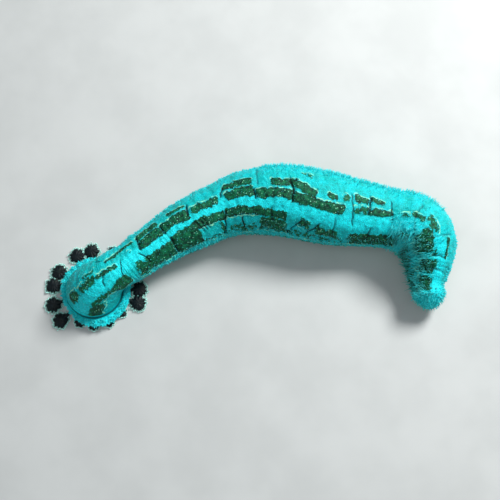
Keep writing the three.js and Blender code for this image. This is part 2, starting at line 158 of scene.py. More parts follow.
def smooth_table(table, place):
    """Reads a table of (place, value) with a smooth curve through its rows."""
    at, value = np.array(table, float).T
    slope = np.gradient(value) / np.gradient(at)
    row = np.clip(np.searchsorted(at, place, side="right") - 1, 0, len(at) - 2)
    width = at[row + 1] - at[row]
    share = np.clip((place - at[row]) / width, 0, 1)
    return curve(value[row], value[row + 1], slope[row] * width, slope[row + 1] * width, share)


def lumps(points, size, seed):
    """Smooth random values from -1 to 1 that change over about the given size."""
    cells = 32
    table = np.random.default_rng(seed).uniform(-1, 1, (cells, cells, cells))
    scaled = points / size
    corner = np.floor(scaled).astype(int)
    share = smoothstep(scaled - corner, 0, 1)
    total = np.zeros(points.shape[:-1])
    for step in np.ndindex(2, 2, 2):
        weight = np.prod(np.where(np.array(step) == 1, share, 1 - share), axis=-1)
        place = (corner + np.array(step)) % cells
        total += weight * table[place[..., 0], place[..., 1], place[..., 2]]
    return total


def lumpy(points, *layers):
    """The sum of lumps, each layer of them given as (height, size, seed)."""
    return sum(height * lumps(points, size, seed) for height, size, seed in layers)


def trace_body_line():
    """Close points on the body's smooth middle line, with the length up to each and its direction."""
    knots = [FOLD_LINE[:2], *np.array(BODY_LINE)]
    knots = [2 * knots[0] - knots[1], *knots, 2 * knots[-1] - knots[-2]]
    share = np.linspace(0, 1, LINE_STEPS, endpoint=False)[:, None]
    pieces = []
    for before, start, end, after in zip(knots, knots[1:], knots[2:], knots[3:]):
        first, middle, last = (
            np.linalg.norm(b - a) ** 0.5 for a, b in ((before, start), (start, end), (end, after))
        )
        step = (end - start) / middle
        leave = middle * (step + (start - before) / first - (end - before) / (first + middle))
        arrive = middle * (step - (after - start) / (middle + last) + (after - end) / last)
        pieces.append(curve(start, end, leave, arrive, share))
    line = np.vstack([*pieces, knots[-2]])
    steps = np.linalg.norm(np.diff(line, axis=0), axis=1)
    length = np.concatenate([[0], np.cumsum(steps)])
    return length, line, unit(np.gradient(line, length, axis=0))


LINE_LENGTH, LINE_POINTS, LINE_FORWARD = trace_body_line()


def stations(distance):
    """Middle, sideways direction and half width of the body at each distance from the neck."""
    middle, forward = (
        np.stack([np.interp(distance, LINE_LENGTH, axis) for axis in values.T], axis=-1)
        for values in (LINE_POINTS, LINE_FORWARD)
    )
    side = unit(np.stack([forward[:, 1], -forward[:, 0], np.zeros(len(forward))], axis=-1))
    blend = 1 - smoothstep(distance, 0, HEAD_BLEND)[:, None]
    side = unit(mix(side, HEAD_SIDE, blend))
    half_width = smooth_table(GIRTH, distance)
    lift = (NECK_SOLE - SOLE_HEIGHT) * (1 - smoothstep(distance, 0, NECK_SLOPE))
    rise = TAIL_RISE["height"] * smoothstep(distance, TAIL_RISE["from"], TAIL_TIP)
    height = SOLE_HEIGHT + lift + rise + BOTTOM_SHARE * half_width
    return np.column_stack([middle, height]), side, half_width


def section(angle, half_width, top, bottom, squareness):
    """A body section: round above, flattened below. Angle 0 is the back."""
    sine, cosine = np.sin(angle), np.cos(angle)
    power = 2 / squareness
    across = np.where(cosine >= 0, sine, np.sign(sine) * np.abs(sine) ** power) * half_width
    height = np.where(cosine >= 0, top * cosine, -bottom * np.abs(cosine) ** power)
    return across, height


def body_rings(distance, angle):
    middle, side, half_width = stations(distance)
    half_width = half_width[:, None]
    across, height = section(
        angle, half_width, TOP_SHARE * half_width, BOTTOM_SHARE * half_width, SOLE_SQUARENESS
    )
    from_fold = smoothstep(np.abs(distance - TAIL_FOLD["at"]), 0, TAIL_FOLD["reach"])[:, None]
    across = across * np.where(across > 0, 1 - TAIL_FOLD["squeeze"] * (1 - from_fold), 1)
    slim = bell(distance - TAIL_SLIM["at"], TAIL_SLIM["reach"])[:, None]
    across = across * np.where(across < 0, 1 - TAIL_SLIM["share"] * slim, 1)
    return middle[:, None] + side[:, None] * across[..., None] + UP * height[..., None]


def head_rings(fold, angle):
    """Rings of the head, from the neck's face at fold 0 to flat on the ground at 90 degrees."""
    turned = smoothstep(fold, 0, 90)[:, None]
    flare = smoothstep(fold, DOME_FLARE, 90)[:, None]
    across, height = section(
        angle,
        mix(NECK_HALF_WIDTH, DOME_RADIUS, flare),
        mix(TOP_SHARE * NECK_HALF_WIDTH, DOME_RADIUS, turned),
        mix(BOTTOM_SHARE * NECK_HALF_WIDTH, DOME_RADIUS, turned),
        mix(SOLE_SQUARENESS, 2, turned),
    )
    reach = mix(NECK_SOLE + BOTTOM_SHARE * NECK_HALF_WIDTH - FOLD_HEIGHT, FOLD_REACH, turned)
    lean = np.radians(fold)[:, None]
    outward = HEADING * np.sin(lean) + UP * np.cos(lean)
    middle = FOLD_LINE + outward * reach - HEAD_SIDE * DOME_SHIFT * turned
    return middle[:, None] + HEAD_SIDE * across[..., None] + outward[:, None] * height[..., None]


def add_mesh(name, points, faces, material, values=None, patches=None):
    """One smooth mesh object. Each row of faces holds four corners, where a triangle repeats its
    last. values are numbers for each point, and patches are the points' places on the unwrap."""
    is_triangle = faces[:, 2] == faces[:, 3]
    sizes = np.where(is_triangle, 3, 4)
    keep = np.ones(faces.shape, bool)
    keep[is_triangle, 3] = False
    corners = faces[keep]
    mesh = bpy.data.meshes.new(name)
    mesh.vertices.add(len(points))
    mesh.vertices.foreach_set("co", (points * MM).ravel())
    mesh.loops.add(len(corners))
    mesh.loops.foreach_set("vertex_index", corners)
    mesh.polygons.add(len(faces))
    mesh.polygons.foreach_set("loop_start", np.concatenate([[0], np.cumsum(sizes)[:-1]]))
    mesh.polygons.foreach_set("use_smooth", np.ones(len(faces), bool))
    mesh.update(calc_edges=True)
    for key, value in (values or {}).items():
        layer = mesh.attributes.new(key, "FLOAT", "POINT")
        layer.data.foreach_set("value", np.broadcast_to(value, len(points)).astype(np.float32))
    if patches is not None:
        layer = mesh.uv_layers.new(name="OFBake")
        layer.data.foreach_set("uv", patches[corners].ravel())
    mesh.materials.append(material)
    mesh.validate()
    piece = bpy.data.objects.new(name, mesh)
    bpy.context.scene.collection.objects.link(piece)
    return piece


def grid_faces(rows, around):
    """Faces of rows of rings, each closed round on itself."""
    row, column = np.meshgrid(np.arange(rows - 1), np.arange(around), indexing="ij")
    here = row * around + column
    beside = row * around + (column + 1) % around
    return np.stack([here, beside, beside + around, here + around], axis=-1).reshape(-1, 4)


def fan_faces(ring, centre, outward):
    """Triangles from a ring of points to one centre point."""
    beside = np.roll(ring, -1)
    middle = np.full(len(ring), centre)
    corners = (ring, beside, middle, middle) if outward else (beside, ring, middle, middle)
    return np.stack(corners, axis=-1)


def closed_faces(rows, around):
    """Faces of rows of rings closed by two end points, which come after the rings."""
    ring = np.arange(around)
    count = rows * around
    return np.concatenate([
        grid_faces(rows, around),
        fan_faces(ring, count, False),
        fan_faces(ring + count - around, count + 1, True),
    ])


def closed_rings(rings, ends):
    """Points and faces of rows of rings, closed by a point at each end."""
    return np.vstack([rings.reshape(-1, 3), ends]), closed_faces(*rings.shape[:2])


def trace_profile(profile, steps):
    """Radii and heights along a profile, in the given number of steps from row to row."""
    place = np.linspace(0, len(profile) - 1, (len(profile) - 1) * steps + 1)
    return [np.interp(place, range(len(profile)), values) for values in zip(*profile)]


def round_points(centre, radius, angle, height):
    """Points round a centre, each at a radius, an angle from +X and a height."""
    x, y = centre[0] + radius * np.cos(angle), centre[1] + radius * np.sin(angle)
    return np.stack(np.broadcast_arrays(x, y, height), axis=-1)


UNWRAP_RADIUS = 0.0015
UNWRAP_TAPER = 0.7


def tubes(paths, radii, across, sides, patch_at=None):
    """Many closed tubes as one mesh. paths has n runs of k points, radii their sizes, and across is a
    direction square to each run. Returns points, faces, the share along each tube and its patches."""
    count, steps = radii.shape
    forward = unit(np.gradient(paths, axis=1))
    first = unit(across[:, None] - forward * np.sum(forward * across[:, None], axis=-1, keepdims=True))
    second = np.cross(forward, first)
    angle = np.arange(sides) / sides * TURN
    ring = first[:, :, None] * np.cos(angle)[:, None] + second[:, :, None] * np.sin(angle)[:, None]
    points = paths[:, :, None] + ring * radii[:, :, None, None]
    points = np.concatenate([points.reshape(count, -1, 3), paths[:, [0, -1]]], axis=1)
    per_tube = steps * sides + 2
    faces = closed_faces(steps, sides) + (np.arange(count) * per_tube)[:, None, None]
    share = np.concatenate([np.repeat(np.linspace(0, 1, steps), sides), [0, 1]])
    shares = np.tile(share, count)
    patches = None
    if patch_at is not None:
        turn = np.concatenate([np.tile(angle, steps), [0, 0]])
        spread = UNWRAP_RADIUS * (1 - UNWRAP_TAPER * share)
        offset = np.stack([np.cos(turn), np.sin(turn)], axis=-1) * spread[:, None]
        patches = (patch_at[:, None] + offset[None]).reshape(-1, 2)
    return points.reshape(-1, 3), faces.reshape(-1, 4), shares, patches


# The one skin, from the recess behind the mouth, round the collar, over the head and along to the tail.
# Each row of COLLAR_PROFILE is a radius and a height. A radius up to 1 is a share of the way from the lip
# to the collar's edge, and one below 0 is millimetres inside the lip. VENT_PIT has rows of a share of the
# last ring's size and a depth.
COLLAR_PROFILE = [
    (-13, 8.8), (-7, 8.8), (-1.4, 8.8), (-1, 8.2), (-1, 5.4), (-0.6, 4.8), (0, 4.4), (0.4, 4.1), (0.8, 4.1),
    (0.97, 4.5), (1, 5.0), (0.98, 5.6), (0.92, 6.2),
]
COLLAR_STEPS = 4
COLLAR_TOP_STEPS = 14
COLLAR_VALLEY = {"at": 0.86, "reach": 0.16, "depth": 1.5}
COLLAR_PLACE = -110.0
FOLD_STEP = 0.5
VENT_PIT = [(0.8, -0.2), (0.6, 0.5), (0.45, 2.0), (0.3, 3.2)]
STRIPE_MIDDLE = [
    (-90, 28), (-61, 31), (-45, 29), (-30, 20), (-17, 12), (0, 14), (60, 9), (100, 14), (142, 30), (181, 35),
    (220, 32), (250, 14), (260, 4), (268, -14), (290, -20), (TAIL_TIP, -20),
]

# The skin's relief. Lumps are (height, size, seed). A shift is how far lumps carry a wave along, and pitch
# is the length of one wave. FRILL_ROWS counts rings: start and full back from the rim, end back from the
# dome's foot, and still on from the first ring.
EDGE_WANDER = [(1.3, 9, 11), (0.8, 3.1, 12)]
EDGE_WOBBLE = [(0.9, 6, 13), (1.2, 2.3, 14)]
WRINKLES = [(0.3, 5.5, 19), (0.24, 2.1, 20)]
RIDGE = {"round": 84, "reach": 8, "height": 1.25, "fade": (296, 308), "scallop": 6.5, "shift": (1.2, 14, 15)}
RIPPLE = {"height": 0.16, "pitch": 2.3, "shift": (2.4, 7, 16), "where": (11, 17)}
ROLLS = {"height": 0.16, "pitch": 7.5, "shift": (3, 16, 18)}
FRILL = {"height": 0.42, "waves": 26, "shift": (2.2, 12, 21), "lumps": (0.55, 2.4, 22)}
FRILL_ROWS = {"start": 18, "full": 4, "end": 8, "still": 4}
CREASE = {"thin": 0.62, "broad": 2.6, "thin_share": 0.85, "broad_share": 0.4, "taper": (0.75, 1.1)}
NARROW_TAIL = {"at": 296.0, "reach": 5.0, "depth": 0.8}
PATCH_RISE = 0.35
PATCH_SLOPE = (-0.6, 1.2)
LOWEST_SKIN = 1.2

# Where fields of the skin change: along the body, away from the stripe's middle, and round the body.
BODY_START = (-8, 8)
STRIPE_EDGE = (3, 9)
SOLE_EDGE = (92, 112)
COLLAR_FADE = 5.0
# Painted shade in the groove round the dome's foot: its middle, in rings before the foot, and its reach.
VALLEY_SHADE_ROWS = {"before": 1.5, "reach": 2.2}
VENT_STEP = 0.1


def collar_rings(angle):
    """Rings under and round the collar, from the recess out to the rim."""
    share, height = (values[:, None] for values in trace_profile(COLLAR_PROFILE, COLLAR_STEPS))
    rim = COLLAR_RADIUS - COLLAR_DENT * np.maximum(0, np.cos(angle)) ** 4
    radius = mix(LIP_RADIUS + np.minimum(share, 0), rim, np.maximum(share, 0))
    return round_points(HEAD_CENTRE, radius, angle + HEAD_HEADING, height)


def collar_top_rings(rim, foot):
    """Rings from the collar's rim in to the foot of the dome, with a valley beside the dome."""
    share = np.linspace(0, 1, COLLAR_TOP_STEPS + 2)[1:-1, None]
    valley = COLLAR_VALLEY["depth"] * bell(share - COLLAR_VALLEY["at"], COLLAR_VALLEY["reach"])
    rings = mix(rim[None], foot[None], share[..., None])
    rings[..., 2] = mix(rim[None, :, 2], foot[None, :, 2], share**2) - valley
    return rings


def vent_rings(last):
    middle = last.mean(axis=0)
    inward = -np.append(LINE_FORWARD[-1], 0)
    return np.array([mix(middle, last, share) + inward * depth for share, depth in VENT_PIT])


def outward_normals(points):
    along = np.gradient(points, axis=0)
    around = np.roll(points, -1, axis=1) - np.roll(points, 1, axis=1)
    return unit(np.cross(around, along) + 1e-9)


def patch_fields(along, angle, half_width):
    """How far inside the nearest dark patch each point lies, below 0 outside, in millimetres; how dark that
    patch is; and 1 near its outer edge, falling to -1 near the edge beside the pale stripe."""
    inside = np.full(angle.shape, OUTSIDE)
    dark = np.zeros(angle.shape)
    outer = np.zeros(angle.shape)
    stripe = smooth_table(STRIPE_MIDDLE, along)
    per_degree = radians(1) * half_width
    for start, end, left, right, lean, strength in PATCHES:
        share = np.clip((along - start) / (end - start), 0, 1)
        middle = (left + right) / 2 + lean * (share - 0.5)
        half_length, half_span = (end - start) / 2, (right - left) / 2
        corner = np.minimum(PATCH_CORNER, np.minimum(half_length, half_span * per_degree))
        beyond_end = np.abs(along - (start + end) / 2) - half_length + corner
        beyond_side = (np.abs(angle - middle) - half_span) * per_degree + corner
        outside = np.hypot(np.maximum(beyond_end, 0), np.maximum(beyond_side, 0))
        depth = corner - outside - np.minimum(np.maximum(beyond_end, beyond_side), 0)
        nearer = depth > inside
        toward_edge = (angle - middle) / half_span * np.where(middle < stripe, -1.0, 1.0)
        inside = np.where(nearer, depth, inside)
        dark = np.where(nearer, strength, dark)
        outer = np.where(nearer, np.clip(toward_edge, -1.5, 1.5), outer)
    return inside, dark, outer


def crease_field(along, angle, wander):
    """Thin and broad depth of the creases, each from 0 to its full depth in millimetres."""
    thin = np.zeros(angle.shape)
    broad = np.zeros(angle.shape)
    for place, left, right, lean, depth in CREASES:
        share = (angle - (left + right) / 2) / ((right - left) / 2)
        taper = 1 - smoothstep(np.abs(share), *CREASE["taper"])
        gap = along + wander - place - lean * share
        thin = np.maximum(thin, depth * taper * bell(gap, CREASE["thin"]))
        broad = np.maximum(broad, depth * taper * bell(gap, CREASE["broad"]))
    return thin, broad


def body_relief(points, along, angle, body_part):
    """Heights of the flanks' ridges, of the wrinkles, ripples and rolls, and of the narrow tail."""
    ridge = bell(np.abs(angle) - RIDGE["round"], RIDGE["reach"]) * body_part
    ridge = ridge * (1 - smoothstep(along, *RIDGE["fade"]))
    scallop = np.abs(np.sin(along * pi / RIDGE["scallop"] + lumpy(points, RIDGE["shift"])))
    upper = smoothstep(np.cos(np.radians(angle)), -0.5, 0.1)
    ripple = np.sin(TURN * (along + lumpy(points, RIPPLE["shift"])) / RIPPLE["pitch"])
    ripple = ripple * smoothstep(lumps(points, *RIPPLE["where"]), -0.1, 0.6)
    rolls = np.sin(TURN * (along + lumpy(points, ROLLS["shift"])) / ROLLS["pitch"])
    height = lumpy(points, *WRINKLES) + (RIPPLE["height"] * ripple + ROLLS["height"] * rolls) * upper
    height = height + RIDGE["height"] * ridge * mix(0.55, 1, scallop)
    return height - NARROW_TAIL["depth"] * bell(along - NARROW_TAIL["at"], NARROW_TAIL["reach"])


def make_skin_shape():
    """The skin's points in rows of rings, with their normals, places along the body and fields."""
    turn = np.arange(SKIN_AROUND) / SKIN_AROUND * TURN
    fold = np.arange(DOME_FOOT, 0, -FOLD_STEP)
    distance = np.arange(0, TAIL_TIP, SKIN_STEP)
    head, body = head_rings(fold, turn), body_rings(distance, turn)
    under = collar_rings(turn)
    top = collar_top_rings(under[-1], head[0])
    vent = vent_rings(body[-1])
    points = np.concatenate([under, top, head, body, vent])
    collar_count = len(under) + len(top)
    along = np.concatenate([
        np.linspace(COLLAR_PLACE, -DOME_FOOT - FOLD_STEP, collar_count), -fold, distance,
        TAIL_TIP + VENT_STEP * np.arange(1, len(vent) + 1),
    ])[:, None]
    half_width = np.concatenate([
        np.full(collar_count, DOME_RADIUS),
        mix(NECK_HALF_WIDTH, DOME_RADIUS, smoothstep(fold, DOME_FLARE, 90)),
        smooth_table(GIRTH, distance), np.full(len(vent), GIRTH[-1][1]),
    ])[:, None]
    collar = np.concatenate([
        np.ones(collar_count), 1 - smoothstep(-fold, -DOME_FOOT, -DOME_FOOT + COLLAR_FADE),
        np.zeros(len(distance) + len(vent)),
    ])[:, None]
    along, angle = np.broadcast_arrays(along, (np.degrees(turn) + 180) % 360 - 180)
    wander, wobble = lumpy(points, *EDGE_WANDER), lumpy(points, *EDGE_WOBBLE)
    inside, dark, outer = patch_fields(along + wander, angle + degrees(1) * wobble / half_width, half_width)
    inside = np.where(collar > 0.5, OUTSIDE, inside)
    thin, broad = crease_field(along, angle, wander)
    body_part = smoothstep(along, *BODY_START)
    height = body_relief(points, along, angle, body_part)
    height = height - (CREASE["thin_share"] * thin + CREASE["broad_share"] * broad)
    height = height + PATCH_RISE * smoothstep(inside, *PATCH_SLOPE) * dark
    row = np.arange(len(points))[:, None]
    frill_start = len(under) - FRILL_ROWS["start"]
    rim = smoothstep(row, frill_start, len(under) - FRILL_ROWS["full"])
    rim = rim * (1 - smoothstep(row, collar_count - FRILL_ROWS["end"], collar_count))
    wave = np.sin(FRILL["waves"] * np.radians(angle) + lumpy(points, FRILL["shift"]))
    frill = rim * (FRILL["height"] * wave + lumpy(points, FRILL["lumps"]))
    height = (height * (1 - collar) + frill) * smoothstep(row, FRILL_ROWS["still"], frill_start)
    points = points + outward_normals(points) * height[..., None]
    points[..., 2] = np.maximum(points[..., 2], LOWEST_SKIN)
    from_foot = row - collar_count + VALLEY_SHADE_ROWS["before"]
    from_stripe = np.abs(angle - smooth_table(STRIPE_MIDDLE, along)) * radians(1) * half_width
    fields = {
        # crease carries the creases' thin depth, which paints shade into them.
        "patch": inside, "dark": dark, "outer": outer, "crease": np.clip(thin, 0, 1),
        "stripe": 1 - smoothstep(from_stripe, *STRIPE_EDGE),
        "under": smoothstep(np.abs(angle), *SOLE_EDGE) * body_part * (1 - collar),
        "collar": collar * np.ones(angle.shape),
        # valley paints shade into the groove round the dome's foot.
        "valley": bell(from_foot, VALLEY_SHADE_ROWS["reach"]) * np.ones(angle.shape),
    }
    return {"points": points, "normals": outward_normals(points), "along": along[:, 0], "fields": fields}


def make_skin(shape, material):
    points, faces = closed_rings(shape["points"], shape["points"][[0, -1]].mean(axis=1))
    values = {key: np.append(field.ravel(), field[[0, -1], 0]) for key, field in shape["fields"].items()}
    skin = add_mesh("skin", points, faces, material, values)
    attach(skin, "root")
    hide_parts("head", "neck", "torso_front", "torso_middle", "torso_rear", "tail_bend", "tail")


class Finish:
    """One procedural material, made node by node around a Principled shader."""

    def __init__(self, name, **numbers):
        self.material = bpy.data.materials.new(name)
        self.material.use_nodes = True
        self.tree = self.material.node_tree
        self.shader = next(node for node in self.tree.nodes if node.type == "BSDF_PRINCIPLED")
        for socket, value in numbers.items():
            self.shader.inputs[socket.replace("_", " ")].default_value = value
        self.place = self.node("TexCoord").outputs["Object"]

    def put(self, socket, value):
        if isinstance(value, bpy.types.NodeSocket):
            self.tree.links.new(value, socket)
        else:
            socket.default_value = value

    def node(self, kind, **inputs):
        """A new shader node with its inputs set or linked."""
        node = self.tree.nodes.new(f"ShaderNode{kind}")
        for name, value in inputs.items():
            self.put(node.inputs[name.replace("_", " ")], value)
        return node

    def attribute(self, name):
        node = self.node("Attribute")
        node.attribute_name = name
        return node.outputs["Fac"]

    def noise(self, size, detail=3.0, roughness=0.55):
        """Cloudy values from 0 to 1 that change over about the given size in millimetres."""
        scale = 1 / (size * MM)
        node = self.node("TexNoise", Vector=self.place, Scale=scale, Detail=detail, Roughness=roughness)
        return node.outputs["Fac"]

    def cells(self, size, feature="F1"):
        """Distance from the middles of random cells of the given size, or from their edges."""
        node = self.node("TexVoronoi", Vector=self.place, Scale=1 / (size * MM))
        node.feature = feature
        return node.outputs["Distance"]

    def math(self, operation, first, second, clamp=False):
        node = self.node("Math")
        node.operation = operation
        node.use_clamp = clamp
        self.put(node.inputs[0], first)
        self.put(node.inputs[1], second)
        return node.outputs[0]

    def times(self, first, second, clamp=False):
        return self.math("MULTIPLY", first, second, clamp)

    def step(self, value, low, high, bottom=0.0, top=1.0):
        """A smooth step from bottom to top as the value goes from low to high."""
        node = self.node("MapRange", Value=value, From_Min=low, From_Max=high, To_Min=bottom, To_Max=top)
        node.interpolation_type = "SMOOTHSTEP"
        return node.outputs["Result"]

    def blend(self, share, first, second):
        node = self.node("Mix")
        node.data_type = "RGBA"
        self.put(node.inputs[0], share)
        self.put(node.inputs[6], first)
        self.put(node.inputs[7], second)
        return node.outputs[2]

    def layers(self, colour, *layers):
        """Colours laid one over another on a base, each given as (share, colour)."""
        for share, over in layers:
            colour = self.blend(share, colour, over)
        return colour

    def finish(self, colour, roughness, bumps):
        """Sets the colour and roughness, and layers bumps given as (height, millimetres) pairs."""
        self.put(self.shader.inputs["Base Color"], colour)
        self.put(self.shader.inputs["Roughness"], roughness)
        below = {}
        for height, depth in bumps:
            bump = self.node("Bump", Distance=depth * MM, Height=height, **below)
            below = {"Normal": bump.outputs["Normal"]}
        self.put(self.shader.inputs["Normal"], below["Normal"])
        return self.material


def shade(red, green, blue):
    """A colour given as the 0 to 255 values a screen shows."""
    linear = [((part / 255 + 0.055) / 1.055) ** 2.4 if part > 10 else part / 255 / 12.92
              for part in (red, green, blue)]
    return (*linear, 1.0)


PALE = shade(4, 206, 214)
PALE_BRIGHT = shade(26, 240, 250)
PALE_GREEN = shade(4, 180, 176)
# A darker teal for flecks, bead edges and dull papillae, and for painted shade in the groove round the dome.
PALE_SHADE = shade(2, 114, 120)
EDGE_LIGHT = shade(140, 230, 190)
PATCH_DARK = shade(3, 48, 38)
PATCH_MID = shade(6, 102, 70)
PATCH_OLIVE = shade(26, 132, 80)
# Near black: painted shade in the creases and in the groove round the dome, and the patches' own dark rims.
CREASE_DARK = shade(3, 24, 22)
# Pale tips of papillae and tube feet. On the papillae this is partly their own colour and partly painted
# light against the shade they cast on each other.
PAPILLA_TIP = shade(90, 246, 246)
SOLE_PALE = shade(96, 190, 170)

# Sizes of the skin's markings, and how far grain frays the edge of a patch.
CLOUD_SIZE = 9
GRAIN_SIZE = 1.6
SPECK_SIZE = 3.4
FLECK_SIZE = 2.2
BEAD_SIZE = 1.15
DOT_SIZE = 2.3
EDGE_FRAY = 4.4


def skin_material():
    """Aqua skin, finely beaded, with mottled olive patches, and painted shade in its creases and round the
    dome.
    """
    skin = Finish(
        "sea_cucumber_skin", Subsurface_Weight=0.05, Subsurface_Scale=3 * MM, Specular_IOR_Level=0.15
    )
    patch, dark, outer = skin.attribute("patch"), skin.attribute("dark"), skin.attribute("outer")
    valley, clouds = skin.attribute("valley"), skin.noise(CLOUD_SIZE)
    grain, specks = skin.noise(GRAIN_SIZE, 4, 0.65), skin.noise(SPECK_SIZE, 4, 0.7)
    beads, bead_edges = skin.cells(BEAD_SIZE), skin.cells(BEAD_SIZE, "DISTANCE_TO_EDGE")
    bright = skin.math("MAXIMUM", skin.attribute("stripe"), skin.attribute("collar"))
    edge_line = skin.times(skin.step(patch, -1.2, -0.7), skin.step(patch, 0.1, -0.4))
    edge_line = skin.times(edge_line, skin.step(outer, 0.4, 0.9))
    pale = skin.layers(
        skin.blend(skin.step(clouds, 0.3, 0.7), PALE_GREEN, PALE),
        (skin.times(bright, skin.step(clouds, 0.1, 0.6, 0.4, 1.0)), PALE_BRIGHT),
        (skin.step(skin.noise(FLECK_SIZE, 5, 0.7), 0.5, 0.7, 0, 0.6), PALE_SHADE),
        (skin.step(bead_edges, 0.0, 0.16, 0.5, 0), PALE_SHADE),
        (skin.step(beads, 0.08, 0.34, 0.6, 0), PALE_BRIGHT),
        (skin.attribute("under"), SOLE_PALE),
        # Painted shade in the groove round the dome's foot: darker teal, with a near-black line at its
        # middle.
        (skin.times(valley, 0.85), PALE_SHADE),
        (skin.step(valley, 0.5, 1, 0, 0.6), CREASE_DARK),
        (skin.times(edge_line, skin.step(skin.noise(5), 0.4, 0.56, 0.1, 0.95)), EDGE_LIGHT),
    )
    dots = skin.times(skin.step(skin.cells(DOT_SIZE), 0.12, 0.24, 1, 0), 0.9)
    mottle = skin.layers(
        skin.blend(skin.step(specks, 0.38, 0.64), PATCH_DARK, PATCH_MID),
        (skin.step(grain, 0.5, 0.7, 0, 0.85), PATCH_OLIVE),
        (skin.times(dots, skin.step(skin.noise(6), 0.4, 0.52)), EDGE_LIGHT),
        (skin.times(skin.step(patch, 1.7, 0.3), skin.step(outer, -0.2, 0.6, 0.35, 0.9)), CREASE_DARK),
    )
    ragged = skin.math("ADD", patch, skin.times(skin.math("SUBTRACT", grain, 0.5), EDGE_FRAY))
    broken = skin.times(skin.math("SUBTRACT", 1.0, dark), skin.step(specks, 0.6, 0.4, 0, 14))
    covered = skin.step(skin.math("SUBTRACT", ragged, broken), -0.25, 0.35)
    colour = skin.layers(
        skin.blend(covered, pale, mottle),
        # Painted shade in the creases, darker with their depth.
        (skin.times(skin.attribute("crease"), 0.95, True), CREASE_DARK),
        # Pale papilla tips: partly their own colour, partly painted light.
        (skin.times(skin.attribute("tip"), 0.8), PAPILLA_TIP),
        (skin.attribute("dull"), PALE_SHADE),
    )
    bumps = [(bead_edges, 0.4), (grain, 0.4), (skin.noise(0.5, 2), 0.08)]
    return skin.finish(colour, skin.step(grain, 0.3, 0.7, 0.42, 0.62), bumps)


TENTACLE_BLACK = shade(4, 12, 16)
TENTACLE_DEEP = shade(9, 26, 32)
TENTACLE_BROWN = shade(30, 44, 38)
MARGIN_WHITE = shade(190, 250, 240)
MOUTH_DARK = shade(58, 62, 50)
MOUTH_PALE = shade(120, 124, 98)
LIP_PALE = shade(172, 168, 138)


def tentacle_material():
    """Near-black tentacles whose branched shields have white margins."""
    skin = Finish("tentacle_flesh", Specular_IOR_Level=0.2)
    mottle = skin.noise(1.4, 4, 0.7)
    colour = skin.blend(skin.step(mottle, 0.4, 0.65), TENTACLE_BLACK, TENTACLE_DEEP)
    colour = skin.blend(skin.step(skin.noise(4), 0.5, 0.7, 0, 0.5), colour, TENTACLE_BROWN)
    fray = skin.times(skin.math("SUBTRACT", mottle, 0.5), 0.5)
    margin = skin.math("ADD", skin.attribute("margin"), fray)
    colour = skin.blend(skin.step(margin, 0.78, 0.9), colour, MARGIN_WHITE)
    roughness = skin.step(mottle, 0.3, 0.7, 0.35, 0.55)
    return skin.finish(colour, roughness, [(skin.cells(0.7), 0.15), (mottle, 0.2)])


def mouth_material():
    """Grey-brown mouth disc, paler on the lips."""
    skin = Finish("mouth_flesh", Specular_IOR_Level=0.4)
    mottle = skin.noise(1.8, 4, 0.65)
    colour = skin.blend(skin.step(mottle, 0.35, 0.7), MOUTH_DARK, MOUTH_PALE)
    colour = skin.blend(skin.attribute("lip"), colour, LIP_PALE)
    roughness = skin.step(mottle, 0.3, 0.7, 0.4, 0.6)
    return skin.finish(colour, roughness, [(skin.cells(0.9), 0.2), (mottle, 0.25)])


# The tentacles: where each one's tip points in degrees from +X, and how it is held, by the photo. Their
# roots are spaced evenly from +X.
TENTACLES = [
    (5, "out"), (16, "in"), (38, "out"), (46, "in"), (68, "out"), (76, "in"), (99, "out"), (119, "out"),
    (122, "in"), (151, "out"), (170, "out"), (167, "in"), (196, "out"), (197, "in"), (220, "out"),
    (226, "in"), (244, "half"), (255, "in"), (269, "half"), (284, "in"), (296, "half"), (314, "in"),
    (323, "half"), (347, "out"),
]
CROWN_RADIUS = 13.6

# Rows of a stalk's route are shares of its bend over the lip and of the way on to its shield, and a height.
# It is rounded off STALK_ROUNDS times.
STALK_BEND = 5.0
STALK_ROUTE = [(0, 0, 6.3), (0.1, 0, 4.9), (0.45, 0, 3), (1, 0, 2), (1, 0.5, 1.9), (1, 1, 1.5)]
STALK_STEPS = 28
STALK_ROUNDS = 3
STALK = {"radius": 1.45, "waist": 0.25, "rings": 0.06, "ring_turns": 46, "sides": 20}
SHIELDS = {
    "out": {"reach": 35.6, "radius": 7.6, "lobes": 8, "height": 3.4},
    "half": {"reach": 26.6, "radius": 5.2, "lobes": 6, "height": 2.8},
    "in": {"reach": 19.4, "radius": 2.4, "lobes": 5, "height": 2.6},
}
SHIELD_AROUND = 160
SHIELD_ROWS = 16
SHIELD_FOOT = 0.12
SHIELD_RIM = 0.62
SHIELD_EDGE = {"core": 0.66, "lobes": 0.21, "twigs": 0.08, "beads": 0.05}
SHIELD_EVEN = 0.62
SHIELD_LIFT = {"height": 0.3, "above": 0.7}

# The fingers' length is for a shield of the radius named shield.
FINGER = {
    "length": 0.85, "shield": 6, "longer": (0.6, 1.3), "radius": 0.34, "sides": 6, "sink": 0.4, "turn": 0.12,
    "root": (0.5, 1.3), "rise": (-0.1, 0.7), "lowest": 0.1,
}
FINGER_TAPER = np.array([1, 0.95, 1, 0.9, 0.45])


def stalk(root, tip, shield):
    """The path of one stalk, from the crown over the lip and down to its shield."""
    bend = min(STALK_BEND, shield["reach"] - CROWN_RADIUS - 1)
    over, onward, height = np.array(STALK_ROUTE).T
    radius = CROWN_RADIUS + over * bend + onward * (shield["reach"] - CROWN_RADIUS - bend)
    share = np.linspace(0, 1, STALK_STEPS)
    at = np.linspace(0, 1, len(STALK_ROUTE))
    route = np.stack([np.interp(share, at, radius), np.interp(share, at, height)])
    for _ in range(STALK_ROUNDS):
        route[:, 1:-1] = (route[:, :-2] + 2 * route[:, 1:-1] + route[:, 2:]) / 4
    bearing = np.radians(mix(root, tip, smoothstep(share, 0, 1)))
    return round_points(HEAD_CENTRE, route[0], bearing, route[1])


